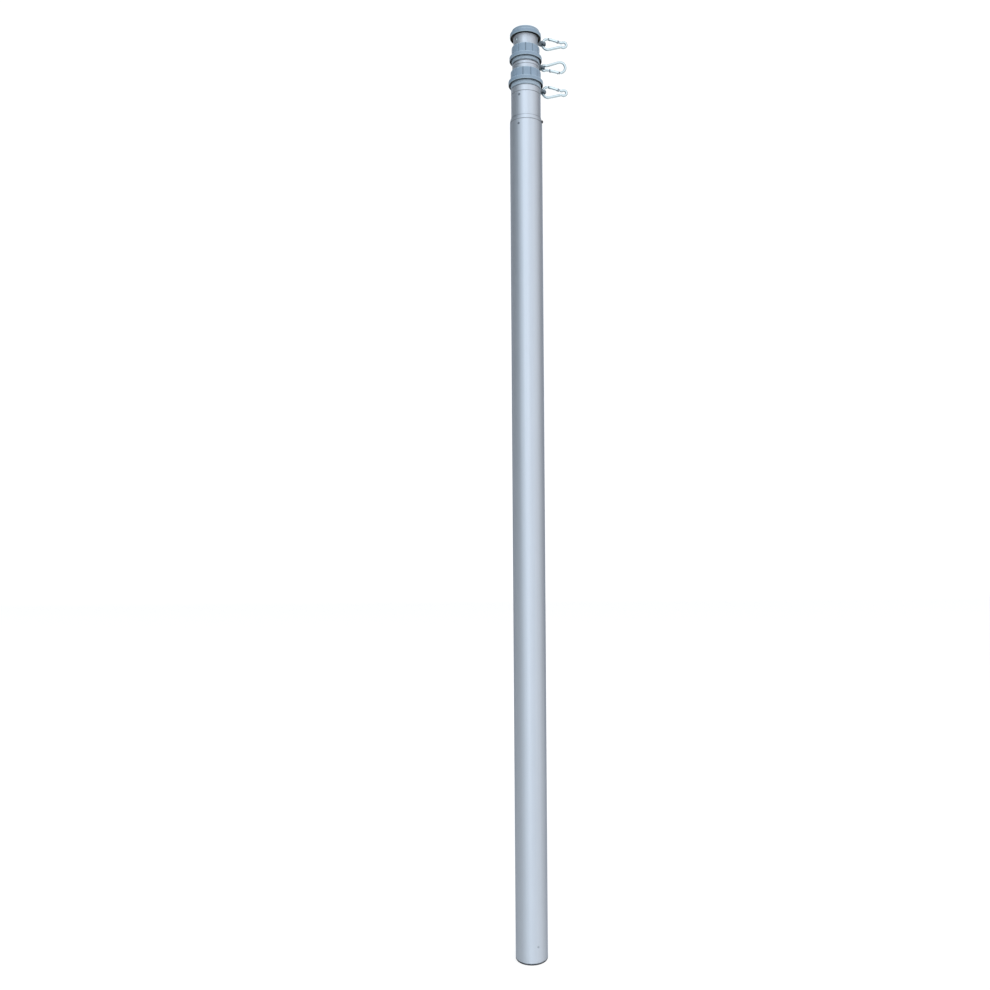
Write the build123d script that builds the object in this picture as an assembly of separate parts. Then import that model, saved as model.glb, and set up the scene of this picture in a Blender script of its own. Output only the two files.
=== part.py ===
from build123d import *
import os
from math import asin, atan2, cos, degrees, hypot, radians, sin, tan

# Telescoping flagpole of four nested aluminium tubes, collapsed, in millimetres.
# Z is up from the underside of the foot plug, -Y is the front, and an azimuth is
# measured from the front towards +X.

# Tubes, with the guide sleeves that fill the gap between two of them
bottom_r = 30.0
wall = 1.5
radial_gap = 1.0
run_clear = 0.4
second_r = bottom_r - wall - radial_gap
third_r = second_r - wall - radial_gap
top_r = third_r - wall - radial_gap
sleeve_wall = radial_gap - run_clear

# Heights, each from the one below it
plug_flange_h = 2.0
plug_h = 42.0
rest_gap = 0.5
bottom_rim_z = 1561.0
second_shows = 55.6
lower_ring_rise = 7.4
lower_grip_h = 17.0
third_shows = 14.9
middle_ring_rise = 5.7
upper_grip_h = 17.1
top_shows = 18.5
cap_h = 7.0

# Crimp lines rolled into the tubes, each measured down from its rim
bottom_crimp_drop = 8.25
second_crimp_drop = 11.6
third_crimp_drop = 7.3
crimp_depth = 0.5
crimp_half = 0.75
mouth_inset = 1.5

# Mouth bush, spigots and stop bushes
mouth_bush_drop = 10.0
mouth_bush_l = 29.0
lower_spigot_l = 36.6
upper_spigot_l = 33.3
stop_bush_l = 25.0
second_stop_up = 0.0
third_stop_up = 50.0
top_stop_up = 100.0

# Grip collars and the retaining rings under them
lower_collar_step = 0.65
upper_collar_step = 1.1
neck_wall = 1.1
groove_count = 12
groove_r = 1.1
groove_depth = 0.8
lower_groove_az = -10.5
upper_groove_az = 0.0
collar_edge = 0.8
retainer_edge = 1.2

# Flag rings
hoop_h = 7.0
hoop_wall = 2.0
web_t = 3.0
ring_play = 0.4
web_play = 0.5
lower_ring_step = 4.25
middle_ring_step = 4.1
top_ring_step = 6.5
ring_edge = 0.5
top_retainer_wall = 2.1
top_retainer_h = 3.0

# Top cap
cap_step = 3.6
cap_edge = 1.5
cap_spigot_l = 29.0
cap_spigot_wall = 2.5

# Flush rivets, the domed cap rivet and the mouth screw
rivet_head_r = 2.3
rivet_head_t = 0.7
rivet_sink = 0.15
rivet_shank_r = 1.5
rivet_bore_r = 1.0
rivet_bore_depth = 0.9
rivet_short = 0.05
hole_past = 0.3
pair_az = (-27.0, 153.0)
bottom_rivet_drop = 17.0
second_rivet_drop = 18.6
third_rivet_drop = 18.3
foot_rivet_az = 24.0
foot_rivet_z = 33.0
foot_rivet_depth = 4.5
cap_rivet_az = -49.0
cap_rivet_drop = 15.0
cap_rivet_rise = 1.2
cap_rivet_seat = 0.2
mouth_screw_az = 80.0
mouth_screw_drop = 5.7
mouth_screw_r = 2.6
mouth_screw_rise = 2.2
mouth_screw_seat = 0.7
dome_share = 0.85

# Foot plug
plug_inset = 0.8
plug_edge = 0.5
plug_wall = 4.0
plug_roof = 4.0
plug_rib = 2.5

# Snap hooks, drawn flat with the gate up and the wide end at -X
hook_l = 50.0
wire_r = 2.5
wide_bend_r = 10.0
narrow_bend_r = 5.0
pinch_bend_r = 6.0
pinch_angle = 65.0
gate_hinge_x = 7.0
gate_latch_x = -11.0
gate_extra_r = 0.1
gate_end_gap = 0.4
gate_flat = 0.2
tongue_t = 1.6
tongue_side_gap = 0.3
tongue_inset = 0.7
tongue_root = 1.0
gate_rivet_r = 1.0
gate_rivet_head_r = 1.7
gate_rivet_head_t = 0.5
latch_pin_r = 0.8
latch_pin_rim = 0.7
latch_pin_proud = 0.05
pin_clear = 0.3
slot_run = 2.0

# Lugs, with each bearing measured from +X towards +Y
eye_clear = 0.5
hole_clear = 2.1
lug_rim = 2.0
lug_neck = 5.4
lower_lug_bearing = 41.0
middle_lug_bearing = 42.0
top_lug_bearing = 35.0
top_hook_tilt = 3.0
middle_hook_tilt = -1.0
lower_hook_tilt = 3.0

# Sizes and heights that follow
lower_collar_r = second_r + lower_collar_step
upper_collar_r = third_r + upper_collar_step
lower_ring_r = lower_collar_r + lower_ring_step
middle_ring_r = upper_collar_r + middle_ring_step
top_ring_r = top_r + top_ring_step
cap_r = top_r + cap_step
top_retainer_r = top_r + top_retainer_wall
inner_foot_z = plug_h + rest_gap
second_rim_z = bottom_rim_z + second_shows
lower_ring_z = second_rim_z + lower_ring_rise
lower_grip_z = lower_ring_z + hoop_h + ring_play
third_rim_z = lower_grip_z + lower_grip_h + third_shows
middle_ring_z = third_rim_z + middle_ring_rise
upper_grip_z = middle_ring_z + hoop_h + ring_play
top_ring_z = upper_grip_z + upper_grip_h + top_shows
top_rim_z = top_ring_z + hoop_h
hook_half = hook_l / 2 - wire_r
gate_r = wire_r + gate_extra_r
lug_t = 2 * (narrow_bend_r - wire_r - eye_clear)
lug_hole_r = wire_r + hole_clear
lug_end_r = lug_hole_r + lug_rim
lug_reach = lug_hole_r + lug_neck
cut_past = 5.0


def turned(profile):
    """A solid of revolution about Z from a closed list of (radius, height) points."""
    face = make_face(Plane.XZ * Polyline(*profile, close=True))
    return revolve(face, Axis.Z)


def sleeve(inner, outer, low, high):
    """A plain round sleeve between two heights."""
    return turned([(inner, low), (outer, low), (outer, high), (inner, high)])


def rod(radius, low, high):
    """A round bar on the Z axis between two heights."""
    bar = Cylinder(radius, high - low, align=(Align.CENTER, Align.CENTER, Align.MIN))
    return Pos(0, 0, low) * bar


def radial(azimuth, height):
    """A frame whose Z points straight out of the pole at an azimuth and height."""
    return Pos(0, 0, height) * Rot(0, 0, azimuth - 90) * Rot(0, 90, 0)


def crimp(radius, height):
    """The V-shaped ring that a crimp line cuts out of a tube."""
    out = radius + crimp_depth
    return turned([
        (out, height - 2 * crimp_half),
        (radius - crimp_depth, height),
        (out, height + 2 * crimp_half),
    ])


def mouth_shoulder(radius, low, rim):
    """The ring cut away outside a rounded mouth, whose arc leaves the wall without a corner."""
    rise = rim - low
    bend = (mouth_inset**2 + rise**2) / (2 * mouth_inset)
    half_turn = asin(rise / bend) / 2
    middle = (radius - bend + bend * cos(half_turn), 0, low + bend * sin(half_turn))
    start = (radius, 0, low)
    end = (radius - mouth_inset, 0, rim)
    arc = ThreePointArc(start, middle, end)
    out = radius + cut_past
    rest = Polyline(end, (end[0], 0, rim + cut_past), (out, 0, rim + cut_past), (out, 0, low), start)
    return revolve(make_face(Wire([arc.edge(), *rest.edges()])), Axis.Z)


def rivet_cut(radius, inner, azimuth, height):
    """The stepped hole for one flush rivet, from outside the tube to inside its sleeve."""
    shank = rod(rivet_shank_r, inner - hole_past, radius + cut_past)
    head = rod(rivet_head_r, radius - rivet_head_t, radius + cut_past)
    return radial(azimuth, height) * (shank + head)


def flush_rivet(radius, inner, azimuth, height):
    """A rivet whose flat head lies just under the tube's face, with a small blind bore in it."""
    body = rod(rivet_shank_r, inner + rivet_short, radius - rivet_head_t)
    body += rod(rivet_head_r, radius - rivet_head_t, radius - rivet_sink)
    body -= rod(rivet_bore_r, radius - rivet_bore_depth, radius)
    return radial(azimuth, height) * body


def domed_head(radius, inner, azimuth, height, head_r, rise, seat):
    """A round-headed rivet or screw on a tube, and the stepped hole it fills."""
    base = radius - seat
    head = rod(head_r, base, radius + rise)
    head = fillet(head.edges().sort_by(Axis.Z)[-1], dome_share * min(rise, head_r))
    shank = rod(rivet_shank_r, inner + rivet_short, base)
    hole = rod(rivet_shank_r, inner - hole_past, base) + rod(head_r, base, radius + cut_past)
    place = radial(azimuth, height)
    return place * (head + shank), place * hole


def stop_bush(inner, up):
    """The sleeve on a sliding tube that meets the stop above it at full travel."""
    low = inner_foot_z + up
    return sleeve(inner, inner + sleeve_wall, low, low + stop_bush_l)


def next_bore(tube_r):
    """The bore of whatever guides the next tube inside a tube."""
    return tube_r - wall - radial_gap + run_clear


def grip_collar(tube_r, collar_r, spigot_l, rim_z, grip_z, grip_h, groove_az):
    """A collar with a spigot in the tube's mouth, a neck for the flag ring and a grooved grip."""
    bore = next_bore(tube_r)
    neck_r = bore + neck_wall
    top = grip_z + grip_h
    body = turned([
        (bore, rim_z - spigot_l),
        (tube_r - wall, rim_z - spigot_l),
        (tube_r - wall, rim_z),
        (neck_r, rim_z),
        (neck_r, grip_z),
        (collar_r, grip_z),
        (collar_r, top - collar_edge),
        (collar_r - collar_edge, top),
        (bore, top),
    ])
    groove = Pos(collar_r + groove_r - groove_depth, 0, 0) * rod(groove_r, grip_z, top)
    for i in range(groove_count):
        body -= Rot(0, 0, groove_az - 90 + i * 360 / groove_count) * groove
    return body


def retaining_ring(tube_r, collar_r, rim_z, ring_z):
    """The sleeve on the collar's neck, which widens from the tube's rim and ends under the ring's web."""
    inner = next_bore(tube_r) + neck_wall
    top = ring_z + hoop_h - web_t - ring_play
    return turned([
        (inner, rim_z),
        (tube_r, rim_z),
        (collar_r, rim_z + retainer_edge),
        (collar_r, top),
        (inner, top),
    ])


def lug_point(hoop_r, bearing):
    """The centre of the lug's hole in plan."""
    reach = hoop_r + lug_reach
    return reach * cos(radians(bearing)), reach * sin(radians(bearing))


def flag_ring(shaft_r, hoop_r, ring_z, bearing):
    """A hoop with a web at its top that turns on the shaft, and a lug with one hole."""
    top = ring_z + hoop_h
    inner = hoop_r - hoop_wall
    body = turned([
        (shaft_r + web_play, top - web_t),
        (inner, top - web_t),
        (inner, ring_z),
        (hoop_r - ring_edge, ring_z),
        (hoop_r, ring_z + ring_edge),
        (hoop_r, top - ring_edge),
        (hoop_r - ring_edge, top),
        (shaft_r + web_play, top),
    ])
    root = inner / 2
    reach = hoop_r + lug_reach
    lug = Box(reach - root, 2 * lug_end_r, lug_t, align=(Align.MIN, Align.CENTER, Align.MIN))
    lug = Pos(root, 0, 0) * lug + Pos(reach, 0, 0) * rod(lug_end_r, 0, lug_t)
    lug -= rod(hoop_r - hoop_wall / 2, 0, lug_t)
    lug -= Pos(reach, 0, 0) * rod(lug_hole_r, 0, lug_t)
    return body + Pos(0, 0, ring_z) * Rot(0, 0, bearing) * lug


class HookLine:
    """The flat centreline of a hook: two end bends, a pinch and straight sides between them."""

    wide_x = wide_bend_r - hook_half
    narrow_x = hook_half - narrow_bend_r
    pinch_turn = radians(pinch_angle)
    apart = narrow_bend_r + pinch_bend_r
    pinch_x = narrow_x - apart * cos(pinch_turn)
    pinch_z = apart * sin(pinch_turn)
    meet_x = narrow_x - narrow_bend_r * cos(pinch_turn)
    meet_z = narrow_bend_r * sin(pinch_turn)
    span = hypot(pinch_x - wide_x, pinch_z)
    slope = asin((wide_bend_r + pinch_bend_r) / span) - atan2(pinch_z, pinch_x - wide_x)
    pinch_start_x = pinch_x - pinch_bend_r * sin(slope)
    pinch_start_z = pinch_z - pinch_bend_r * cos(slope)
    half_pinch = (radians(90) - pinch_turn - slope) / 2
    pinch_mid_x = pinch_x + pinch_bend_r * sin(half_pinch)
    pinch_mid_z = pinch_z - pinch_bend_r * cos(half_pinch)
    wide_end_x = wide_x + wide_bend_r * sin(slope)
    wide_end_z = wide_bend_r * cos(slope)


def side_height(x):
    """The height of a hook's straight side above its middle line at x."""
    return HookLine.pinch_start_z + (HookLine.pinch_start_x - x) * tan(HookLine.slope)


def hook_wire(wire_end_x, nose_x):
    """The bent wire, from the gate's hinge round the narrow end and the back to the nose."""
    line = HookLine
    nose_z = (wide_bend_r**2 - (nose_x - line.wide_x) ** 2) ** 0.5
    hinge_end = (wire_end_x, 0, side_height(wire_end_x))
    upper = [
        (line.pinch_start_x, 0, line.pinch_start_z),
        (line.pinch_mid_x, 0, line.pinch_mid_z),
        (line.meet_x, 0, line.meet_z),
    ]
    lower = [(x, y, -z) for x, y, z in reversed(upper)]
    wide_end = (line.wide_end_x, 0, -line.wide_end_z)
    pieces = [
        Line(hinge_end, upper[0]),
        ThreePointArc(*upper),
        ThreePointArc(upper[2], (hook_half, 0, 0), lower[0]),
        ThreePointArc(*lower),
        Line(lower[2], wide_end),
        ThreePointArc(wide_end, (-hook_half, 0, 0), (nose_x, 0, nose_z)),
    ]
    start = Plane(origin=hinge_end, z_dir=(cos(line.slope), 0, -sin(line.slope)))
    return sweep(start * Circle(wire_r), path=Wire([piece.edge() for piece in pieces]))


def hook_parts():
    """The hook's wire body, gate, gate rivet and latch pin, flat and centred."""
    slope = HookLine.slope
    end_gap = gate_r + gate_end_gap
    hinge = Pos(gate_hinge_x, 0, side_height(gate_hinge_x)) * Rot(0, degrees(slope), 0)
    latch = Pos(gate_latch_x, 0, side_height(gate_latch_x))
    nose_x = gate_latch_x - end_gap
    nose_lean = asin((HookLine.wide_x - nose_x) / wide_bend_r)
    across = Rot(90, 0, 0)

    def tongue(half_h, side):
        """A flat tongue that runs from a pin into the wire's end."""
        length = end_gap + tongue_root
        plate = Pos(side * length / 2, 0, 0) * Box(length, tongue_t, 2 * half_h)
        return plate + across * rod(half_h, -tongue_t / 2, tongue_t / 2)

    body = hook_wire(gate_hinge_x + end_gap * cos(slope), nose_x)
    hinge_tongue = tongue(gate_r - tongue_inset, 1)
    hinge_tongue -= across * rod(gate_rivet_r + pin_clear, -tongue_t, tongue_t)
    nose_tongue = tongue(latch_pin_r + latch_pin_rim, -1)
    nose_tongue -= across * rod(latch_pin_r, -tongue_t, tongue_t)
    body += hinge * hinge_tongue
    body += latch * Rot(0, -degrees(nose_lean) / 2, 0) * nose_tongue

    cheek = gate_r - gate_flat
    gate_l = (gate_hinge_x - gate_latch_x) / cos(slope)
    slot_w = tongue_t + 2 * tongue_side_gap
    gate = Rot(0, -90, 0) * rod(gate_r, 0, gate_l)
    gate += Sphere(gate_r) + Pos(-gate_l, 0, 0) * Sphere(gate_r)
    gate &= Pos(-gate_l / 2, 0, 0) * Box(gate_l + 4 * gate_r, 2 * cheek, 2 * gate_r)
    gate -= Box(2 * (gate_r + pin_clear), slot_w, 2 * gate_r)
    latch_slot = Box(2 * (latch_pin_r + latch_pin_rim + slot_run), slot_w, 2 * gate_r)
    notch = across * rod(latch_pin_r + pin_clear, -gate_r, gate_r)
    notch += Pos(0, 0, gate_r / 2) * Box(2 * (latch_pin_r + pin_clear), 2 * gate_r, gate_r)
    gate -= Pos(-gate_l, 0, 0) * (latch_slot + notch)
    gate -= across * rod(gate_rivet_r, -gate_r, gate_r)

    rivet = across * rod(gate_rivet_r, -cheek, cheek)
    for low in (-cheek - gate_rivet_head_t, cheek):
        rivet += across * rod(gate_rivet_head_r, low, low + gate_rivet_head_t)
    pin_end = cheek + latch_pin_proud
    latch_pin = across * rod(latch_pin_r, -pin_end, pin_end)
    return {"body": body, "gate": hinge * gate, "gate_rivet": hinge * rivet, "latch_pin": latch * latch_pin}


def placed_hook(pieces, hoop_r, ring_z, bearing, wide_on_lug, tilt):
    """Threads one end of the hook through a lug's hole, gate up or down, and tilts it."""
    x, y = lug_point(hoop_r, bearing)
    place = Pos(x, y, ring_z + lug_t / 2) * Rot(0, tilt, 0) * Pos(hook_half, 0, 0)
    if not wide_on_lug:
        place = place * Rot(0, 180, 0)
    return {kind: place * piece for kind, piece in pieces.items()}


def add_rivets(prefix, tube, guide, radius, height):
    """A pair of flush rivets that hold a guide in a tube's mouth."""
    inner = next_bore(radius)
    for place, azimuth in zip(("front", "back"), pair_az):
        cut = rivet_cut(radius, inner, azimuth, height)
        nodes[tube] -= cut
        nodes[guide] -= cut
        nodes[f"{prefix}_rivet_{place}"] = flush_rivet(radius, inner, azimuth, height)


nodes = {}

# Bottom section
mouth_bush_top = bottom_rim_z - mouth_bush_drop
bottom_crimp_z = bottom_rim_z - bottom_crimp_drop
bottom_inner = bottom_r - wall
bottom_tube = turned([
    (bottom_inner, plug_flange_h),
    (bottom_r, plug_flange_h),
    (bottom_r, bottom_rim_z),
    (next_bore(bottom_r), bottom_rim_z),
    (next_bore(bottom_r), mouth_bush_top),
    (bottom_inner, mouth_bush_top),
])
bottom_tube -= mouth_shoulder(bottom_r, bottom_crimp_z, bottom_rim_z)
nodes["bottom_tube"] = bottom_tube - crimp(bottom_r, bottom_crimp_z)
nodes["mouth_bush"] = sleeve(next_bore(bottom_r), bottom_inner, mouth_bush_top - mouth_bush_l, mouth_bush_top)
add_rivets("mouth_bush", "bottom_tube", "mouth_bush", bottom_r, bottom_rim_z - bottom_rivet_drop)

nodes["mouth_screw"], screw_hole = domed_head(
    bottom_r,
    next_bore(bottom_r),
    mouth_screw_az,
    bottom_rim_z - mouth_screw_drop,
    mouth_screw_r,
    mouth_screw_rise,
    mouth_screw_seat,
)
nodes["bottom_tube"] -= screw_hole
nodes["mouth_bush"] -= screw_hole

# Foot plug, hollow from below with a cross of ribs
plug_r = bottom_r - plug_inset
foot_plug = turned([
    (0, 0),
    (plug_r - plug_edge, 0),
    (plug_r, plug_edge),
    (plug_r, plug_flange_h),
    (bottom_inner, plug_flange_h),
    (bottom_inner, plug_h),
    (0, plug_h),
])
cavity = rod(bottom_inner - plug_wall, 0, plug_h - plug_roof)
for turn in (0, 90):
    rib = Box(2 * bottom_r, plug_rib, plug_h, align=(Align.CENTER, Align.CENTER, Align.MIN))
    cavity -= Rot(0, 0, turn) * rib
foot_cut = rivet_cut(bottom_r, bottom_r - foot_rivet_depth, foot_rivet_az, foot_rivet_z)
nodes["bottom_tube"] -= foot_cut
nodes["foot_plug"] = foot_plug - cavity - foot_cut
nodes["foot_plug_rivet"] = flush_rivet(bottom_r, bottom_r - foot_rivet_depth, foot_rivet_az, foot_rivet_z)

# Second section
nodes["second_tube"] = sleeve(second_r - wall, second_r, inner_foot_z, second_rim_z)
nodes["second_tube"] -= crimp(second_r, second_rim_z - second_crimp_drop)
nodes["second_stop_bush"] = stop_bush(second_r, second_stop_up)
nodes["lower_grip_collar"] = grip_collar(
    second_r, lower_collar_r, lower_spigot_l, second_rim_z, lower_grip_z, lower_grip_h, lower_groove_az
)
nodes["lower_retaining_ring"] = retaining_ring(second_r, lower_collar_r, second_rim_z, lower_ring_z)
add_rivets("lower_collar", "second_tube", "lower_grip_collar", second_r, second_rim_z - second_rivet_drop)

# Third section
nodes["third_tube"] = sleeve(third_r - wall, third_r, inner_foot_z, third_rim_z)
nodes["third_tube"] -= crimp(third_r, third_rim_z - third_crimp_drop)
nodes["third_stop_bush"] = stop_bush(third_r, third_stop_up)
nodes["upper_grip_collar"] = grip_collar(
    third_r, upper_collar_r, upper_spigot_l, third_rim_z, upper_grip_z, upper_grip_h, upper_groove_az
)
nodes["upper_retaining_ring"] = retaining_ring(third_r, upper_collar_r, third_rim_z, middle_ring_z)
add_rivets("upper_collar", "third_tube", "upper_grip_collar", third_r, third_rim_z - third_rivet_drop)

# Top section
cap_inner = top_r - wall - cap_spigot_wall
top_cap = rod(cap_r, top_rim_z, top_rim_z + cap_h)
top_cap = fillet(top_cap.edges().sort_by(Axis.Z)[-1], cap_edge)
top_cap += rod(top_r - wall, top_rim_z - cap_spigot_l, top_rim_z)
top_cap -= rod(cap_inner, top_rim_z - cap_spigot_l, top_rim_z)
nodes["top_cap_rivet"], rivet_hole = domed_head(
    top_r, cap_inner, cap_rivet_az, top_rim_z - cap_rivet_drop, rivet_head_r, cap_rivet_rise, cap_rivet_seat
)
nodes["top_tube"] = sleeve(top_r - wall, top_r, inner_foot_z, top_rim_z) - rivet_hole
nodes["top_cap"] = top_cap - rivet_hole
nodes["top_stop_bush"] = stop_bush(top_r, top_stop_up)
retainer_top = top_rim_z - web_t - ring_play
nodes["top_retaining_ring"] = sleeve(top_r, top_retainer_r, retainer_top - top_retainer_h, retainer_top)

# Flag rings and their snap hooks
hook_pieces = hook_parts()
lower_neck_r = next_bore(second_r) + neck_wall
middle_neck_r = next_bore(third_r) + neck_wall
ring_places = (
    ("lower", lower_neck_r, lower_ring_r, lower_ring_z, lower_lug_bearing, True, lower_hook_tilt),
    ("middle", middle_neck_r, middle_ring_r, middle_ring_z, middle_lug_bearing, False, middle_hook_tilt),
    ("top", top_r, top_ring_r, top_ring_z, top_lug_bearing, True, top_hook_tilt),
)
for level, shaft_r, hoop_r, ring_z, bearing, wide_on_lug, tilt in ring_places:
    nodes[f"{level}_flag_ring"] = flag_ring(shaft_r, hoop_r, ring_z, bearing)
    placed = placed_hook(hook_pieces, hoop_r, ring_z, bearing, wide_on_lug, tilt)
    for kind, piece in placed.items():
        nodes[f"{level}_hook_{kind}"] = piece

os.makedirs("parts", exist_ok=True)
for name, shape in nodes.items():
    export_step(shape, f"parts/{name}.step")
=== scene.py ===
import math

import bmesh
import bpy
import numpy as np
from mathutils import Matrix, Vector


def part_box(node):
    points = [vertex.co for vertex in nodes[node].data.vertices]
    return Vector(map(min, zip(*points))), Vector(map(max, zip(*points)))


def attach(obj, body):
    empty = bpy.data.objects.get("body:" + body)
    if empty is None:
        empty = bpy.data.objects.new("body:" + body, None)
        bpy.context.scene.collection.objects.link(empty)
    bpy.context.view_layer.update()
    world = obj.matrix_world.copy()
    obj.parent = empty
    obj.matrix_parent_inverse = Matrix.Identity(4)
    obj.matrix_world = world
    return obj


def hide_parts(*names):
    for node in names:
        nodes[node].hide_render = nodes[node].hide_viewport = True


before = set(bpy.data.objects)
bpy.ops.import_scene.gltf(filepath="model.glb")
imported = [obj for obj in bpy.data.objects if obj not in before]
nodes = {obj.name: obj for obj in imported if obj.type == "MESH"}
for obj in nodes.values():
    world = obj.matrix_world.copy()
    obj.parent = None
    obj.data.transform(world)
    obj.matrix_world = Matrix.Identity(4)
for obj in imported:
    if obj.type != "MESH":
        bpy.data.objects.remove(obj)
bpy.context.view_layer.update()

MM = 0.001

# Photograph's frame, and where its camera stood
PHOTO_PX = 990
FOCAL_PX = 900.0
SENSOR_MM = 36.0
CAMERA_DISTANCE = 1.677
CAMERA_HEIGHT = 0.819
PRINCIPAL_X_PX = 528.8
PRINCIPAL_Y_PX = 518.4
CAMERA_ROLL_DEG = 0.40
CAMERA_NEAR = 0.01

# The sRGB curve: straight up to the knee, above it a power
SRGB_KNEE = 0.04045
SRGB_SLOPE = 12.92
SRGB_OFFSET = 0.055
SRGB_POWER = 2.4


def linear(hex_colour):
    """An sRGB hex colour as linear RGBA: value / slope up to the knee, and above it
    ((value + offset) / (1 + offset)) ^ power."""
    srgb = np.array([int(hex_colour[i:i + 2], 16) for i in (1, 3, 5)]) / 255
    low = srgb / SRGB_SLOPE
    high = ((srgb + SRGB_OFFSET) / (1 + SRGB_OFFSET)) ** SRGB_POWER
    return (*np.where(srgb <= SRGB_KNEE, low, high).tolist(), 1.0)


def node(tree, kind, inputs=None, **settings):
    """Adds a shader node, with its settings and with input values or links from other sockets."""
    made = tree.nodes.new(kind)
    for name, value in settings.items():
        setattr(made, name, value)
    for name, value in (inputs or {}).items():
        if isinstance(value, bpy.types.NodeSocket):
            tree.links.new(value, made.inputs[name])
        else:
            made.inputs[name].default_value = value
    return made


def blank_material(name):
    """A material whose tree holds only its output."""
    made = bpy.data.materials.new(name)
    made.use_nodes = True
    made.node_tree.nodes.clear()
    output = node(made.node_tree, "ShaderNodeOutputMaterial")
    return made, made.node_tree, output


def cells(x_mm, y_mm, z_mm):
    """The scale at which one cell of a pattern measures this much along X, Y and Z."""
    return (1 / (x_mm * MM), 1 / (y_mm * MM), 1 / (z_mm * MM))


# Nearly all of a noise lies between the first two, and the others are its octaves in a fine grain,
# in clouds and in scuffs
NOISE_LOW = 0.3
NOISE_HIGH = 0.7
GRAIN_DETAIL = 2.0
CLOUD_DETAIL = 3.0
SCUFF_DETAIL = 4.0

# Drawn tube. Real die lines lie about 0.2 mm apart, and are drawn coarser here so that they show.
DIE_LINE_MM = 0.9
DIE_LINE_RUN_MM = 800.0
DIE_LINE_DEPTH_MM = 0.002
CLOUD_MM = 30.0
CLOUD_RUN_MM = 150.0
SCUFF_MM = 7.0
SCUFF_HIGH = 0.6
# Painted lines of shade and dirt: the faintest share of their strength, where scuffs are few
FAINTEST_MARK_SHARE = 0.65
TUBE_DARK = "#C1CAD4"
TUBE_LIGHT = "#CFD7E1"
# Colour of the painted shade and dirt lines
TUBE_SHADE_AND_DIRT = "#3A4048"
CLEAR_FILM = "#8C9096"
TUBE_SMOOTH = 0.42
TUBE_ROUGH = 0.5
CLOUD_ROUGH = 0.06
POLISH_ANISOTROPY = 0.92


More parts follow.
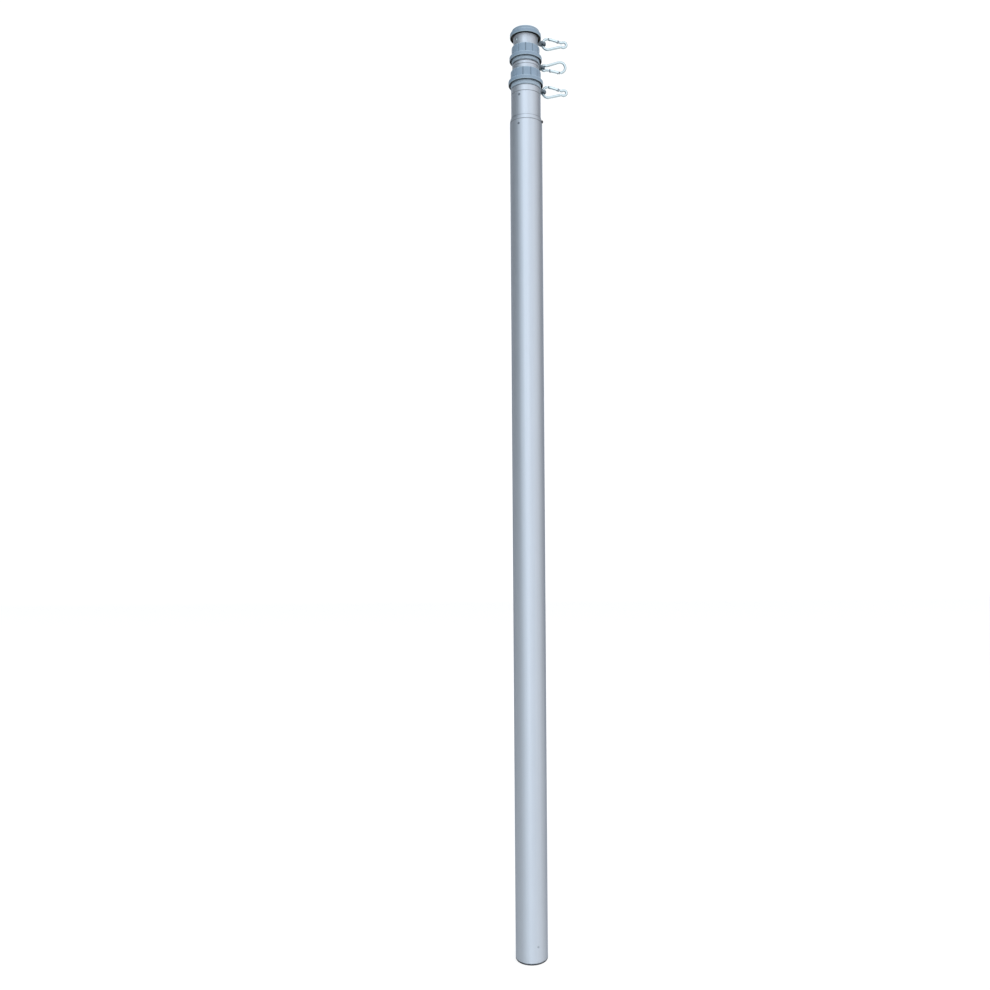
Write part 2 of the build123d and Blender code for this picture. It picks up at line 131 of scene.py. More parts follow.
def satin_tube(name, marks):
    """Aluminium tube, drawn through a die, satin polished and clear anodised.

    The polish spreads each light along the tube and hardly across it, and the clear film dulls the
    metal where it is seen edge on. marks are the height, half width and strength, in millimetres,
    of dark lines painted on the tube: painted shade with dirt in a crimp, and painted shade at a
    rim."""
    made, tree, output = blank_material(name)
    place = node(tree, "ShaderNodeTexCoord").outputs["Object"]
    along = node(tree, "ShaderNodeCombineXYZ", {"Z": 1.0})
    tangent = node(
        tree,
        "ShaderNodeVectorTransform",
        {"Vector": along.outputs[0]},
        vector_type="VECTOR",
        convert_from="OBJECT",
        convert_to="WORLD",
    )
    drawn = node(
        tree,
        "ShaderNodeMapping",
        {"Vector": place, "Scale": cells(DIE_LINE_MM, DIE_LINE_MM, DIE_LINE_RUN_MM)},
    )
    die_lines = node(
        tree,
        "ShaderNodeTexNoise",
        {"Vector": drawn.outputs[0], "Scale": 1.0, "Detail": CLOUD_DETAIL},
    )
    handled = node(
        tree,
        "ShaderNodeMapping",
        {"Vector": place, "Scale": cells(CLOUD_MM, CLOUD_MM, CLOUD_RUN_MM)},
    )
    clouds = node(
        tree,
        "ShaderNodeTexNoise",
        {"Vector": handled.outputs[0], "Scale": 1.0, "Detail": CLOUD_DETAIL},
    )
    scuffed = node(
        tree,
        "ShaderNodeMapping",
        {"Vector": place, "Scale": cells(SCUFF_MM, SCUFF_MM, SCUFF_MM)},
    )
    scuffs = node(
        tree,
        "ShaderNodeTexNoise",
        {"Vector": scuffed.outputs[0], "Scale": 1.0, "Detail": SCUFF_DETAIL},
    )
    height = node(tree, "ShaderNodeSeparateXYZ", {"Vector": place}).outputs["Z"]
    shade_and_dirt = 0.0
    # Each mark paints a dark line: painted shade with dirt in a crimp, painted shade under a rim,
    # and a dark band at the foot
    for mark_z, half_width, strength in marks:
        away = node(
            tree, "ShaderNodeMath", {0: height, 1: mark_z * MM}, operation="SUBTRACT"
        )
        away = node(tree, "ShaderNodeMath", {0: away.outputs[0]}, operation="ABSOLUTE")
        line = node(
            tree,
            "ShaderNodeMapRange",
            {
                "Value": away.outputs[0],
                "From Min": half_width * MM / 2,
                "From Max": half_width * MM,
                "To Min": strength,
                "To Max": 0.0,
            },
        )
        shade_and_dirt = node(
            tree, "ShaderNodeMath", {0: shade_and_dirt, 1: line.outputs[0]}, operation="MAXIMUM"
        ).outputs[0]
    # Scuffs make the painted shade and dirt lines patchy
    patchy = node(
        tree,
        "ShaderNodeMapRange",
        {
            "Value": scuffs.outputs["Fac"],
            "From Min": NOISE_LOW,
            "From Max": SCUFF_HIGH,
            "To Min": FAINTEST_MARK_SHARE,
            "To Max": 1.0,
        },
    )
    shade_and_dirt = node(
        tree, "ShaderNodeMath", {0: shade_and_dirt, 1: patchy.outputs[0]}, operation="MULTIPLY"
    )
    metal = node(
        tree,
        "ShaderNodeMix",
        {"Factor": clouds.outputs["Fac"], 6: linear(TUBE_DARK), 7: linear(TUBE_LIGHT)},
        data_type="RGBA",
    )
    colour = node(
        tree,
        "ShaderNodeMix",
        {"Factor": shade_and_dirt.outputs[0], 6: metal.outputs[2], 7: linear(TUBE_SHADE_AND_DIRT)},
        data_type="RGBA",
    )
    lined = node(
        tree,
        "ShaderNodeMapRange",
        {
            "Value": die_lines.outputs["Fac"],
            "From Min": NOISE_LOW,
            "From Max": NOISE_HIGH,
            "To Min": TUBE_SMOOTH,
            "To Max": TUBE_ROUGH,
        },
    )
    rough = node(
        tree,
        "ShaderNodeMath",
        {0: clouds.outputs["Fac"], 1: CLOUD_ROUGH, 2: lined.outputs[0]},
        operation="MULTIPLY_ADD",
    )
    relief = node(
        tree,
        "ShaderNodeBump",
        {"Height": die_lines.outputs["Fac"], "Distance": DIE_LINE_DEPTH_MM * MM, "Strength": 1.0},
    )
    shader = node(
        tree,
        "ShaderNodeBsdfPrincipled",
        {
            "Base Color": colour.outputs[2],
            "Metallic": 1.0,
            "Roughness": rough.outputs[0],
            "Anisotropic": POLISH_ANISOTROPY,
            "Specular Tint": linear(CLEAR_FILM),
            "Tangent": tangent.outputs[0],
            "Normal": relief.outputs[0],
        },
    )
    tree.links.new(shader.outputs[0], output.inputs[0])
    return made


# Moulded plastic. A spark-eroded mould's grain is about 0.1 mm, and is drawn coarser here.
FLOW_MM = 14.0
GRAIN_MM = 0.5
GRAIN_DEPTH_MM = 0.012
GRAIN_SMOOTHER = 0.05
GRAIN_ROUGHER = 0.06
GROOVE_SHADING = 0.45
GROOVE_SHADE = "#2F3A45"
ABS_ROUGH = 0.42
ABS_IOR = 1.53
POLYPROPYLENE_ROUGH = 0.6
POLYPROPYLENE_IOR = 1.49


def moulded_plastic(name, dark, light, edge, rough=ABS_ROUGH, refraction=ABS_IOR):
    """Injection moulding: an even colour with faint flow marks, a fine sparked skin, round edges
    painted paler as highlights, and painted shade in its grooves, darker where they are deeper.
    Two attributes say where those are."""
    made, tree, output = blank_material(name)
    place = node(tree, "ShaderNodeTexCoord").outputs["Object"]
    melt = node(
        tree, "ShaderNodeMapping", {"Vector": place, "Scale": cells(FLOW_MM, FLOW_MM, FLOW_MM)}
    )
    flow = node(
        tree,
        "ShaderNodeTexNoise",
        {"Vector": melt.outputs[0], "Scale": 1.0, "Detail": GRAIN_DETAIL},
    )
    skin = node(
        tree, "ShaderNodeMapping", {"Vector": place, "Scale": cells(GRAIN_MM, GRAIN_MM, GRAIN_MM)}
    )
    grain = node(
        tree,
        "ShaderNodeTexNoise",
        {"Vector": skin.outputs[0], "Scale": 1.0, "Detail": GRAIN_DETAIL},
    )
    body = node(
        tree,
        "ShaderNodeMix",
        {"Factor": flow.outputs["Fac"], 6: linear(dark), 7: linear(light)},
        data_type="RGBA",
    )
    # Round edges painted paler, as highlights
    edge_share = node(tree, "ShaderNodeAttribute", attribute_name="edge")
    edge_highlighted = node(
        tree,
        "ShaderNodeMix",
        {"Factor": edge_share.outputs["Fac"], 6: body.outputs[2], 7: linear(edge)},
        data_type="RGBA",
    )
    # Painted shade in the grooves, read from a point attribute
    shaded_points = node(tree, "ShaderNodeAttribute", attribute_name="shade_and_dirt")
    shade_strength = node(
        tree, "ShaderNodeMath", {0: shaded_points.outputs["Fac"], 1: GROOVE_SHADING}, operation="MULTIPLY"
    )
    colour = node(
        tree,
        "ShaderNodeMix",
        {"Factor": shade_strength.outputs[0], 6: edge_highlighted.outputs[2], 7: linear(GROOVE_SHADE)},
        data_type="RGBA",
    )
    gloss = node(
        tree,
        "ShaderNodeMapRange",
        {
            "Value": grain.outputs["Fac"],
            "From Min": NOISE_LOW,
            "From Max": NOISE_HIGH,
            "To Min": rough - GRAIN_SMOOTHER,
            "To Max": rough + GRAIN_ROUGHER,
        },
    )
    relief = node(
        tree,
        "ShaderNodeBump",
        {"Height": grain.outputs["Fac"], "Distance": GRAIN_DEPTH_MM * MM, "Strength": 1.0},
    )
    shader = node(
        tree,
        "ShaderNodeBsdfPrincipled",
        {
            "Base Color": colour.outputs[2],
            "Roughness": gloss.outputs[0],
            "IOR": refraction,
            "Normal": relief.outputs[0],
        },
    )
    tree.links.new(shader.outputs[0], output.inputs[0])
    return made


# Plated steel and plain rivets. Real drawing marks are finer, and are drawn coarser here.
PLATING_MM = 5.0
WIRE_GRAIN_MM = 0.35
WIRE_GRAIN_DEPTH_MM = 0.006
PLATING_SMOOTHER = 0.05
PLATING_ROUGHER = 0.07


def plated_metal(name, dark, light, rough):
    """Drawn wire or a turned fastener, whose thin plating clouds its mirror here and there."""
    made, tree, output = blank_material(name)
    place = node(tree, "ShaderNodeTexCoord").outputs["Object"]
    bath = node(
        tree,
        "ShaderNodeMapping",
        {"Vector": place, "Scale": cells(PLATING_MM, PLATING_MM, PLATING_MM)},
    )
    clouds = node(
        tree,
        "ShaderNodeTexNoise",
        {"Vector": bath.outputs[0], "Scale": 1.0, "Detail": CLOUD_DETAIL},
    )
    drawn = node(
        tree,
        "ShaderNodeMapping",
        {"Vector": place, "Scale": cells(WIRE_GRAIN_MM, WIRE_GRAIN_MM, WIRE_GRAIN_MM)},
    )
    grain = node(
        tree,
        "ShaderNodeTexNoise",
        {"Vector": drawn.outputs[0], "Scale": 1.0, "Detail": GRAIN_DETAIL},
    )
    colour = node(
        tree,
        "ShaderNodeMix",
        {"Factor": clouds.outputs["Fac"], 6: linear(dark), 7: linear(light)},
        data_type="RGBA",
    )
    gloss = node(
        tree,
        "ShaderNodeMapRange",
        {
            "Value": clouds.outputs["Fac"],
            "From Min": NOISE_LOW,
            "From Max": NOISE_HIGH,
            "To Min": rough - PLATING_SMOOTHER,
            "To Max": rough + PLATING_ROUGHER,
        },
    )
    relief = node(
        tree,
        "ShaderNodeBump",
        {"Height": grain.outputs["Fac"], "Distance": WIRE_GRAIN_DEPTH_MM * MM, "Strength": 1.0},
    )
    shader = node(
        tree,
        "ShaderNodeBsdfPrincipled",
        {
            "Base Color": colour.outputs[2],
            "Metallic": 1.0,
            "Roughness": gloss.outputs[0],
            "Normal": relief.outputs[0],
        },
    )
    tree.links.new(shader.outputs[0], output.inputs[0])
    return made


def rim_of(tube):
    """The height of a tube's upper end in millimetres."""
    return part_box(tube)[1][2] / MM


# Dark lines painted on the tubes, in millimetres: how far below its rim each crimp lies, and as
# half width and strength the painted shade and dirt of a crimp, and with its place below the rim
# first, the painted shade at a rim. The last is a dark band painted where the bottom tube meets its
# plug.
CRIMP_DROP = {"bottom_tube": 8.25, "second_tube": 11.6, "third_tube": 7.3}
CRIMP_SHADE = (0.95, 0.5)
RIM_SHADE = {
    "bottom_tube": (0.4, 0.8, 0.45),
    "second_tube": (0.6, 1.2, 0.8),
    "third_tube": (1.1, 2.0, 0.9),
}
FOOT_MARK = (2.0, 2.2, 1.0)
TUBE = {"top_tube": satin_tube("satin_anodised_aluminium_top", ())}
for name, drop in CRIMP_DROP.items():
    below, half_width, strength = RIM_SHADE[name]
    marks = [(rim_of(name) - below, half_width, strength), (rim_of(name) - drop, *CRIMP_SHADE)]
    if name == "bottom_tube":
        marks.append(FOOT_MARK)
    TUBE[name] = satin_tube("satin_anodised_aluminium_" + name.removesuffix("_tube"), marks)

# Blue-grey ABS shows an even satin, with its edges painted paler as highlights. The cap is a little
# darker than the collars and hoops. The lips are a copy painted paler, as painted light, and the
# lugs a copy painted darkest, as painted shade.
COLLAR = moulded_plastic("moulded_blue_grey_abs", "#859BAF", "#92A7B9", "#B0C4D0")
CAP = moulded_plastic("moulded_blue_grey_abs_cap", "#8295A6", "#8EA2B1", "#A0B3C1")
LIP_PAINTED_LIGHT = moulded_plastic("moulded_blue_grey_abs_lip_painted_light", "#A4B7C7", "#AEC0CE", "#BCCDD8")
LUG_PAINTED_SHADE = moulded_plastic("moulded_blue_grey_abs_lug_painted_shade", "#5F6F7A", "#6A7A85", "#87979F")

# Black polypropylene swallows the light but for a dull sheen, and unpigmented nylon looks milky
BLACK = moulded_plastic(
    "moulded_black_polypropylene",
    "#0C0C0F",
    "#131316",
    "#202024",
    POLYPROPYLENE_ROUGH,
    POLYPROPYLENE_IOR,
)
NYLON = moulded_plastic("natural_nylon", "#D2D1C8", "#DAD9D0", "#E0DFD6")

# Zinc mirrors sharply; the rivets in the tubes are coloured darker, and they, the plain rivet's
# turning marks and black oxide spread a light
ZINC = plated_metal("bright_zinc_plated_steel", "#A6B5BA", "#C2CED2", rough=0.2)
RIVET = plated_metal("dark_aluminium_rivet", "#6E757E", "#888F98", rough=0.42)
PALE_RIVET = plated_metal("plain_aluminium_rivet", "#A9B2BC", "#BCC4CC", rough=0.45)
DARK = plated_metal("black_oxide_steel", "#2A2B2E", "#38393C", rough=0.4)


def finish_of(name):
    """The material of a CAD node, by what it is."""
    if name == "foot_plug_rivet":
        return PALE_RIVET
    if name == "top_cap_rivet":
        return ZINC
    if "rivet" in name:
        return RIVET
    if name in TUBE:
        return TUBE[name]
    if "bush" in name:
        return NYLON
    if name in ("foot_plug", "top_retaining_ring"):
        return BLACK
    if name == "mouth_screw" or name.endswith("latch_pin"):
        return DARK
    if "hook" in name:
        return ZINC
    return CAP if name == "top_cap" else COLLAR


for name, piece in nodes.items():
    piece.data.materials.clear()
    piece.data.materials.append(finish_of(name))


# Points round the pole and in an arc, then in millimetres the smallest edge radius that is painted
# paler as a highlight and what a comparison of heights forgives
AROUND = 480
ARC_STEPS = 7
SEEN_EDGE = 0.35
SLACK = 0.01

# How near in metres two points of a mesh are one, and from what angle an edge is a crease
WELD = 1e-7
CREASE_DEG = 35


def rounded(corners):
    """A closed outline whose corners turn by arcs, and which of its steps lie on an outward arc.

    corners gives each corner's two coordinates and its arc's radius. An arc's ends lie
    radius / tan(half the corner's angle) from the corner, its centre lies
    radius / sin(half the angle) away on the bisector, and its points turn evenly between the ends.
    A corner turns outwards where it turns the same way as the outline's signed area.
    """
    corners = np.array(corners, float)
    radii = corners[:, 2:]
    corners = corners[:, :2]
    following = np.roll(corners, -1, 0)
    back = np.roll(corners, 1, 0) - corners
    ahead = following - corners
    back /= np.linalg.norm(back, axis=1, keepdims=True)
    ahead /= np.linalg.norm(ahead, axis=1, keepdims=True)
    area = (corners[:, 0] * following[:, 1] - following[:, 0] * corners[:, 1]).sum()
    outward = (back[:, 1] * ahead[:, 0] - back[:, 0] * ahead[:, 1]) * area > 0
    half = np.arccos((back * ahead).sum(1, keepdims=True)) / 2
    bisector = (back + ahead) / np.linalg.norm(back + ahead, axis=1, keepdims=True)
    centres = corners + bisector * radii / np.sin(half)
    first = corners + back * radii / np.tan(half) - centres
    last = corners + ahead * radii / np.tan(half) - centres
    turn = (math.pi - 2 * half)[:, None]
    share = np.linspace(0, 1, ARC_STEPS)[None, :, None]
    arcs = np.sin((1 - share) * turn) * first[:, None] + np.sin(share * turn) * last[:, None]
    shows = outward & (radii[:, 0] >= SEEN_EDGE)
    edges = np.repeat(shows[:, None], ARC_STEPS, 1)
    edges[:, -1] = False
    return (centres[:, None] + arcs / np.sin(turn)).reshape(-1, 2), edges.ravel()


def grid_solid(
    name, grid, edges, body, node_name, finish, second_finish=None, shade_and_dirt=None, closed_rows=True
):
    """A closed mesh of the quads between the points of a grid, which joins up across its columns
    and, unless its first and last rows are poles, across its rows. It stands for one CAD node.

    edges says which rows of quads are round edges, which are painted paler. A second finish, black
    and painted as shade, goes on the rows that its mask picks. Where given, a value at each point
    of the grid says how strongly painted shade darkens it."""
    rows, columns = grid.shape[:2]
    index = np.arange(rows * columns).reshape(rows, columns)
    below = index if closed_rows else index[:-1]
    above = np.roll(index, -1, 0) if closed_rows else index[1:]
    quads = np.stack((below, np.roll(below, -1, 1), np.roll(above, -1, 1), above), axis=-1)
    mesh = bpy.data.meshes.new(name)
    mesh.from_pydata((grid.reshape(-1, 3) * MM).tolist(), [], quads.reshape(-1, 4).tolist())
    mesh.materials.append(finish)
    if second_finish is not None:
        mesh.materials.append(second_finish[1])
        lined = np.repeat(second_finish[0][:len(below)], columns).astype(np.int32)
        mesh.polygons.foreach_set("material_index", lined)
    on_edge = np.repeat(edges[:len(below)], columns).astype(np.float32)
    mesh.attributes.new("edge", "FLOAT", "FACE").data.foreach_set("value", on_edge)
    if shade_and_dirt is not None:
        mesh.attributes.new("shade_and_dirt", "FLOAT", "POINT").data.foreach_set("value", shade_and_dirt.ravel())
    work = bmesh.new()
    work.from_mesh(mesh)
    bmesh.ops.remove_doubles(work, verts=work.verts, dist=WELD)
    if work.calc_volume(signed=True) < 0:
        bmesh.ops.reverse_faces(work, faces=work.faces)
    work.to_mesh(mesh)
    work.free()
    mesh.shade_smooth()
    mesh.set_sharp_from_angle(angle=math.radians(CREASE_DEG))
    made = bpy.data.objects.new(name, mesh)
    bpy.context.scene.collection.objects.link(made)
    shading = made.modifiers.new("even_shading", "WEIGHTED_NORMAL")
    shading.keep_sharp = True
    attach(made, body)
    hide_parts(node_name)
    return made


def turned(profile, wall_at=None):
    """The grid of a profile of (radius, height) points carried round Z by a circle.

    Where wall_at is given, no point lies further out than wall_at(azimuth, height)."""
    azimuth = np.linspace(0, 2 * math.pi, AROUND, endpoint=False)
    radius = np.repeat(profile[:, :1], AROUND, 1)
    height = np.repeat(profile[:, 1:], AROUND, 1)
    if wall_at is not None:
        radius = np.minimum(radius, wall_at(azimuth[None, :], height))
    return np.stack((radius * np.sin(azimuth), -radius * np.cos(azimuth), height), axis=-1)


def box_mm(name):
    """The low and high corners of a CAD node in millimetres."""
    low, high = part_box(name)
    return np.array(low) / MM, np.array(high) / MM


# Walls and clearances of the collars, lips, rings and cap, in millimetres like the next two groups
WALL = 1.5
RUN_CLEAR = 0.4
RADIAL_GAP = 1.0
NECK_WALL = 1.1
GROOVE_COUNT = 12
GROOVE_R = 1.1
GROOVE_DEPTH = 0.8
GROOVE_LEAD_DEG = {"lower": -10.5, "upper": 0.0}
HOOP_WALL = 2.0
WEB_T = 3.0
WEB_PLAY = 0.5
RING_PLAY = 0.4
LIP_CONE = 1.2
# The lip's stepped top, which is painted black as shade
TOP_STEP_H = 1.3
TOP_STEP_IN = 0.3
CAP_SPIGOT_WALL = 2.5
CAP_CROWN = 0.7
CAP_TOP_STEPS = 24

# Edge radii. The first is only for an outline's ends on the axis, whose arcs are left off.
AXIS_R = 0.01
TIGHT_R = 0.05
CRISP_R = 0.1
BROKEN_R = 0.15
EASED_R = 0.2
ROOT_R = 0.3
SOFT_R = 0.4
GRIP_FOOT_R = 0.5
LUG_EDGE_R = 0.6
HOOP_EDGE_R = 0.9
GRIP_TOP_R = 1.1
CAP_EDGE_R = 2.2

# Lugs, each with one hole. The last keeps a division by a sine or cosine finite.
LUG_HOLE_R = 4.6
LUG_END_R = 6.6
LUG_REACH = 10.0
LUG_T = 4.0
LUG_AROUND = 96
LUG_BEARING_DEG = {"lower": 41.0, "middle": 42.0, "top": 35.0}
NEAR_ZERO = 1e-6

# What each level's pieces belong to
TUBE_OF = {"lower": "second_tube", "upper": "third_tube", "top": "top_tube"}
BODY_OF = {"lower": "second_section", "upper": "third_section"}
RING_OF = {"lower": "lower_flag_ring", "upper": "middle_flag_ring"}
COLLAR_OF = {"lower": "lower", "middle": "upper"}


def next_bore(level):
    """The bore that guides the next tube inside this one."""
    tube_r = box_mm(TUBE_OF[level])[1][0]
    return tube_r - WALL - RADIAL_GAP + RUN_CLEAR


def grip_collar(level):
    """A moulded collar: spigot, neck and a grip with round-bottomed grooves and soft edges.

    Across a groove the wall is the groove's own circle, so a point on the grip lies no further out
    than groove centre - sqrt(groove radius^2 - arc length^2)."""
    name = f"{level}_grip_collar"
    low, high = box_mm(name)
    tube_high = box_mm(TUBE_OF[level])[1]
    rim = tube_high[2]
    grip_low = box_mm(RING_OF[level])[1][2] + RING_PLAY
    bore = next_bore(level)
    tube_inner = tube_high[0] - WALL
    neck = bore + NECK_WALL
    outer = high[0]
    pitch = 2 * math.pi / GROOVE_COUNT
    lead = math.radians(GROOVE_LEAD_DEG[level])
    centre_r = outer + GROOVE_R - GROOVE_DEPTH
    profile, edges = rounded(
        [
            (bore, low[2], BROKEN_R),
            (tube_inner, low[2], BROKEN_R),
            (tube_inner, rim, TIGHT_R),
            (neck, rim, TIGHT_R),
            (neck, grip_low, CRISP_R),
            (outer, grip_low, GRIP_FOOT_R),
            (outer, high[2], GRIP_TOP_R),
            (bore, high[2], SOFT_R),
        ]
    )

    def wall_at(azimuth, height):
        across = outer * ((azimuth - lead + pitch / 2) % pitch - pitch / 2)
        inside = np.clip(GROOVE_R**2 - across**2, 0, None)
        groove = np.where(np.abs(across) < GROOVE_R, centre_r - np.sqrt(inside), outer)
        return np.where(height >= grip_low - SLACK, groove, outer)

    grid = turned(profile, wall_at)
    # The grooves are painted darker with their depth, as shade
    depth = profile[:, :1] - np.hypot(grid[..., 0], grid[..., 1])
    made = grid_solid(
        f"{level}_collar_moulding",
        grid,
        edges,
        BODY_OF[level],
        name,
        COLLAR,
        shade_and_dirt=np.clip(depth / GROOVE_DEPTH, 0, 1).astype(np.float32),
    )


def retaining_ring(level):
    """The moulded lip under a flag ring, which widens from the tube's rim in a soft cone and steps
    in a little at its top, where it is painted black as the shade under the hoop."""
    name = f"{level}_retaining_ring"
    low, high = box_mm(name)
    tube_r = box_mm(TUBE_OF[level])[1][0]
    neck = next_bore(level) + NECK_WALL
    outer = high[0]
    step_low = high[2] - TOP_STEP_H
    step_r = outer - TOP_STEP_IN
    profile, edges = rounded(
        [
            (neck, low[2], CRISP_R),
            (tube_r, low[2], BROKEN_R),
            (outer, low[2] + LIP_CONE, SOFT_R),
            (outer, step_low, CRISP_R),
            (step_r, step_low, TIGHT_R),
            (step_r, high[2], EASED_R),
            (neck, high[2], CRISP_R),
        ]
    )
    # The stepped top is painted black, as the shade under the hoop
    middle = (profile + np.roll(profile, -1, 0)) / 2
    painted_shade_band = (middle[:, 1] > step_low + SLACK, BLACK)
    made = grid_solid(
        f"{level}_lip_moulding", turned(profile), edges, BODY_OF[level], name, LIP_PAINTED_LIGHT, second_finish=painted_shade_band
    )


def lug(outer, low_z, bearing_deg):
    """The grid of a lug with one hole: its columns turn about the hole, its rows go round its
    section.

    At an angle about the hole the inner edge is the hole's circle, and the outer edge is the end's
    circle, or towards the hoop the nearer of the two straight sides and the root."""
    angle = np.linspace(0, 2 * math.pi, LUG_AROUND, endpoint=False)[None, :]
    turn = np.linspace(0, math.pi / 2, ARC_STEPS)
    low_arc = LUG_EDGE_R * np.column_stack((1 - np.sin(turn), 1 - np.cos(turn)))
    high_arc = np.column_stack((low_arc[::-1, 0], LUG_T - low_arc[::-1, 1]))
    section = np.concatenate((low_arc, high_arc, high_arc[::-1], low_arc[::-1]))
    inset = section[:, :1]
    rise = section[:, 1:]
    outside = (np.arange(len(section)) < len(section) // 2)[:, None]
    half = LUG_END_R - inset
    root = LUG_REACH + HOOP_WALL / 2 - inset
    sine = np.maximum(np.abs(np.sin(angle)), NEAR_ZERO)
    back = np.maximum(-np.cos(angle), NEAR_ZERO)
    straight = np.minimum(half / sine, root / back)
    outer_edge = np.where(np.cos(angle) > 0, half, straight)
    reach = np.where(outside, outer_edge, LUG_HOLE_R + inset)
    x = outer + LUG_REACH + reach * np.cos(angle)
    y = reach * np.sin(angle)
    z = low_z + rise + np.zeros_like(angle)
    bearing = math.radians(bearing_deg)
    turned_x = x * math.cos(bearing) - y * math.sin(bearing)
    turned_y = x * math.sin(bearing) + y * math.cos(bearing)
    return np.stack((turned_x, turned_y, z), axis=-1)


def flag_ring(level):
    """A moulded hoop with a web at its top and soft edges, painted black inside as shade, and its
    lug.
    """
    name = f"{level}_flag_ring"
    body = f"{level}_ring"
    low, high = box_mm(name)
    outer = -low[0]
    inner = outer - HOOP_WALL
    if level == "top":
        shaft = box_mm("top_tube")[1][0]
    else:
        shaft = next_bore(COLLAR_OF[level]) + NECK_WALL
    web = shaft + WEB_PLAY
    web_low = high[2] - WEB_T
    profile, edges = rounded(
        [
            (web, web_low, EASED_R),
            (inner, web_low, SOFT_R),
            (inner, low[2], SOFT_R),
            (outer, low[2], HOOP_EDGE_R),
            (outer, high[2], HOOP_EDGE_R),
            (web, high[2], EASED_R),
        ]
    )
    # The hoop's inside and underside are painted black, as shade
    middle = (profile + np.roll(profile, -1, 0)) / 2
    within = middle[:, 0] < inner + HOOP_WALL / 2
    painted_shade_band = (within & (middle[:, 1] < high[2] - WEB_T / 2), BLACK)
    hoop = grid_solid(
        f"{level}_hoop_moulding", turned(profile), edges, body, name, COLLAR, second_finish=painted_shade_band
    )
    bracket = lug(outer, low[2], LUG_BEARING_DEG[level])
    plain = np.zeros(len(bracket), bool)
    tab = grid_solid(f"{level}_lug_moulding", bracket, plain, body, name, LUG_PAINTED_SHADE)


def top_cap():
    """The moulded cap: a shallow crown, a full round edge and the spigot that plugs the top tube.

    The crown falls from the middle by its height * (radius / the flat's radius)^2."""
    low, high = box_mm("top_cap")
    tube_high = box_mm("top_tube")[1]
    tube_inner = tube_high[0] - WALL
    spigot_inner = tube_inner - CAP_SPIGOT_WALL
    seat = tube_high[2]
    outer = high[0]
    shoulder = high[2] - CAP_CROWN
    flat_r = outer - CAP_EDGE_R
    side, edges = rounded(
        [
            (0, seat, AXIS_R),
            (spigot_inner, seat, ROOT_R),
            (spigot_inner, low[2], EASED_R),
            (tube_inner, low[2], EASED_R),
            (tube_inner, seat, CRISP_R),
            (outer, seat, SOFT_R),
            (outer, shoulder, CAP_EDGE_R),
            (0, shoulder, AXIS_R),
        ]
    )
    side = side[ARC_STEPS:-ARC_STEPS]
    edges = edges[ARC_STEPS:-ARC_STEPS]
    across = np.linspace(flat_r, 0, CAP_TOP_STEPS)
    top = np.column_stack((across, high[2] - CAP_CROWN * (across / flat_r) ** 2))
    profile = np.concatenate(([(0.0, seat)], side, top))
    edges = np.concatenate(([False], edges, np.zeros(len(top), bool)))
    made = grid_solid(
        "cap_moulding", turned(profile), edges, "top_section", "top_cap", CAP, closed_rows=False
    )


for level in ("lower", "upper"):
    grip_collar(level)
    retaining_ring(level)
for level in ("lower", "middle", "top"):
    flag_ring(level)
top_cap()


# Paper sweep, in metres, then the paper's grey and how bright it is where it is seen
FLOOR_HALF_WIDTH = 6.4
FLOOR_FRONT = -12.0
BACKDROP_Y = 8.0
BACKDROP_BEND = 1.0
BACKDROP_TOP = 6.5
BEND_STEPS = 25
PAPER = "#8C8C8C"
PAPER_GLOW = 0.8


def sweep_surface():
    """A strip across X: flat floor, a quarter bend, then a wall, as one profile pushed along X."""
    turn = np.linspace(0, math.pi / 2, BEND_STEPS)
    bend_y = BACKDROP_Y - BACKDROP_BEND + BACKDROP_BEND * np.sin(turn)
    bend_z = BACKDROP_BEND * (1 - np.cos(turn))
    y = np.concatenate(([FLOOR_FRONT], bend_y, [BACKDROP_Y]))
    z = np.concatenate(([0.0], bend_z, [BACKDROP_TOP]))
    left = np.column_stack((np.full_like(y, -FLOOR_HALF_WIDTH), y, z))
    right = left * (-1, 1, 1)
    count = len(y)
    steps = np.arange(count - 1)
    faces = np.column_stack((steps, steps + count, steps + count + 1, steps + 1))
    mesh = bpy.data.meshes.new("floor_and_backdrop")
    mesh.from_pydata(np.concatenate((left, right)).tolist(), [], faces.tolist())
    mesh.shade_smooth()
    made = bpy.data.objects.new("floor_and_backdrop", mesh)
    bpy.context.scene.collection.objects.link(made)
    return made


def white_paper():
    """Matt paper that takes the pole's shadow, and that the eye, metal and glass see white."""
    made, tree, output = blank_material("matt_white_paper")
    path = node(tree, "ShaderNodeLightPath")
    mirrored = node(
        tree,
        "ShaderNodeMath",
        {0: path.outputs["Is Camera Ray"], 1: path.outputs["Is Glossy Ray"]},
        operation="MAXIMUM",
    )
    seen = node(
        tree,
        "ShaderNodeMath",
        {0: mirrored.outputs[0], 1: path.outputs["Is Transmission Ray"]},
        operation="MAXIMUM",
    )
    level = node(tree, "ShaderNodeMath", {0: seen.outputs[0], 1: PAPER_GLOW}, operation="MULTIPLY")
    paper = node(tree, "ShaderNodeBsdfDiffuse", {"Color": linear(PAPER)})
    glow = node(
        tree, "ShaderNodeEmission", {"Color": (1, 1, 1, 1), "Strength": level.outputs[0]}
    )
    both = node(tree, "ShaderNodeAddShader", {0: paper.outputs[0], 1: glow.outputs[0]})
    tree.links.new(both.outputs[0], output.inputs[0])
    return made


floor = sweep_surface()
floor.data.materials.append(white_paper())

# Softboxes in front and behind, in metres, which face the pole's middle
SOFTBOX_DISTANCE = 2.8
SOFTBOX_HEIGHT = 2.2
SOFTBOX_WIDTH = 1.8
SOFTBOX_TALL = 2.4
POLE_MIDDLE = (0, 0, 0.9)


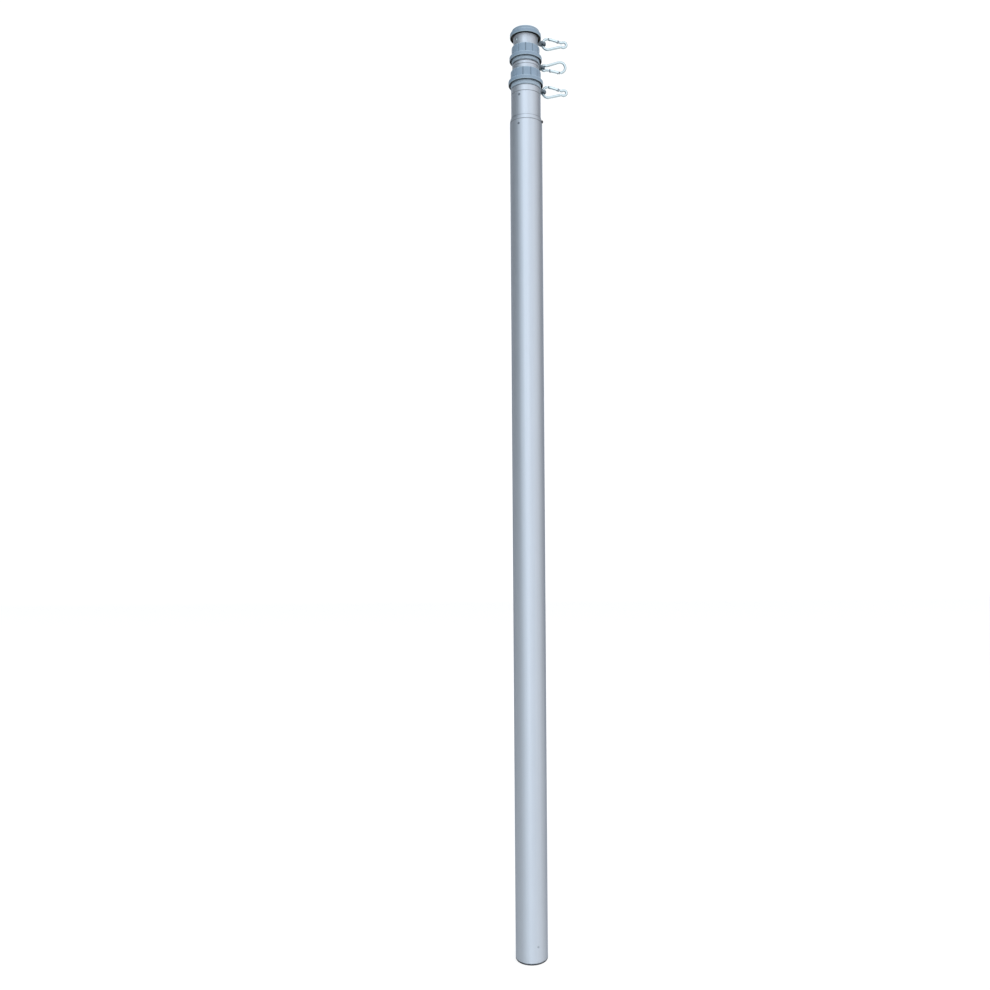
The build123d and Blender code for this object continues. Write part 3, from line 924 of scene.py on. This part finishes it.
def softbox(name, azimuth_deg, radiance, tint):
    """A rectangular soft light that faces the pole, whose surface has the stated radiance: its
    power is radiance * pi * area."""
    light = bpy.data.lights.new(name, "AREA")
    light.shape = "RECTANGLE"
    light.size = SOFTBOX_WIDTH
    light.size_y = SOFTBOX_TALL
    light.energy = radiance * math.pi * SOFTBOX_WIDTH * SOFTBOX_TALL
    light.color = tint
    made = bpy.data.objects.new(name, light)
    turn = math.radians(azimuth_deg)
    out = SOFTBOX_DISTANCE
    made.location = (out * math.sin(turn), -out * math.cos(turn), SOFTBOX_HEIGHT)
    aim = Vector(POLE_MIDDLE) - Vector(made.location)
    made.rotation_euler = aim.to_track_quat("-Z", "Y").to_euler()
    bpy.context.scene.collection.objects.link(made)


softbox("key_softbox", azimuth_deg=-8, radiance=0.5, tint=(0.95, 0.98, 1.0))
softbox("rear_softbox", azimuth_deg=172, radiance=1.2, tint=(1.0, 1.0, 1.0))

# Light tent: each panel's azimuth in degrees, from the front towards the hooks' side, its share of
# the brightness and its tint, then what is left of it well below the horizon and between which
# heights of a direction it goes down to that
TENT_BRIGHT = 1.65
TENT_PANELS = (
    (-180, 0.9, "#FFFFFF"),
    (-155, 0.7, "#FFFFFF"),
    (-125, 0.14, "#F2F8FF"),
    (-85, 0.17, "#E9F6FF"),
    (-60, 0.39, "#EAF7FF"),
    (-32, 0.98, "#F0F8FF"),
    (-5, 1.0, "#F2F8FF"),
    (30, 0.98, "#F6FAFF"),
    (62, 0.86, "#FDFDFF"),
    (92, 0.54, "#FFFBFB"),
    (122, 0.14, "#FFF7F7"),
    (155, 0.7, "#FFFFFF"),
    (180, 0.9, "#FFFFFF"),
)
TENT_BELOW = 0.3
DIM_FROM_Z = -0.1
DIM_TO_Z = -0.35


def light_tent():
    """Soft light from panels all round, whose brightness changes smoothly with the azimuth, the
    arc tangent of a direction's X over its -Y, and which dims below the horizon."""
    world = bpy.data.worlds.new("light_tent")
    world.use_nodes = True
    tree = world.node_tree
    tree.nodes.clear()
    place = node(tree, "ShaderNodeTexCoord")
    axes = node(tree, "ShaderNodeSeparateXYZ", {"Vector": place.outputs["Generated"]})
    front = node(tree, "ShaderNodeMath", {0: axes.outputs["Y"], 1: -1.0}, operation="MULTIPLY")
    azimuth = node(
        tree, "ShaderNodeMath", {0: axes.outputs["X"], 1: front.outputs[0]}, operation="ARCTAN2"
    )
    turn = node(
        tree,
        "ShaderNodeMapRange",
        {"Value": azimuth.outputs[0], "From Min": -math.pi, "From Max": math.pi},
    )
    panels = node(tree, "ShaderNodeValToRGB", {"Fac": turn.outputs[0]})
    ramp = panels.color_ramp
    ramp.interpolation = "B_SPLINE"
    while len(ramp.elements) < len(TENT_PANELS):
        ramp.elements.new(1.0)
    for stop, (degrees, bright, tint) in zip(ramp.elements, TENT_PANELS):
        stop.position = (degrees + 180) / 360
        stop.color = [bright * share for share in linear(tint)]
    below = node(
        tree,
        "ShaderNodeMapRange",
        {
            "Value": axes.outputs["Z"],
            "From Min": DIM_TO_Z,
            "From Max": DIM_FROM_Z,
            "To Min": TENT_BELOW,
            "To Max": 1.0,
        },
        interpolation_type="SMOOTHSTEP",
    )
    level = node(
        tree, "ShaderNodeMath", {0: below.outputs[0], 1: TENT_BRIGHT}, operation="MULTIPLY"
    )
    sky = node(
        tree,
        "ShaderNodeBackground",
        {"Color": panels.outputs["Color"], "Strength": level.outputs[0]},
    )
    node(tree, "ShaderNodeOutputWorld", {"Surface": sky.outputs[0]})
    return world


bpy.context.scene.world = light_tent()
bpy.context.scene.view_settings.view_transform = "Standard"

# Camera in front of the pole, level but for its roll
camera_data = bpy.data.cameras.new("camera")
camera_data.sensor_width = SENSOR_MM
camera_data.lens = FOCAL_PX / PHOTO_PX * SENSOR_MM
camera_data.shift_x = (PHOTO_PX / 2 - PRINCIPAL_X_PX) / PHOTO_PX
camera_data.shift_y = (PRINCIPAL_Y_PX - PHOTO_PX / 2) / PHOTO_PX
camera_data.clip_start = CAMERA_NEAR
camera = bpy.data.objects.new("camera", camera_data)
upright = Matrix.Rotation(math.radians(90), 4, "X")
roll = Matrix.Rotation(math.radians(-CAMERA_ROLL_DEG), 4, "Z")
stand = Matrix.Translation((0, -CAMERA_DISTANCE, CAMERA_HEIGHT))
camera.matrix_world = stand @ upright @ roll
bpy.context.scene.collection.objects.link(camera)
bpy.context.scene.camera = camera
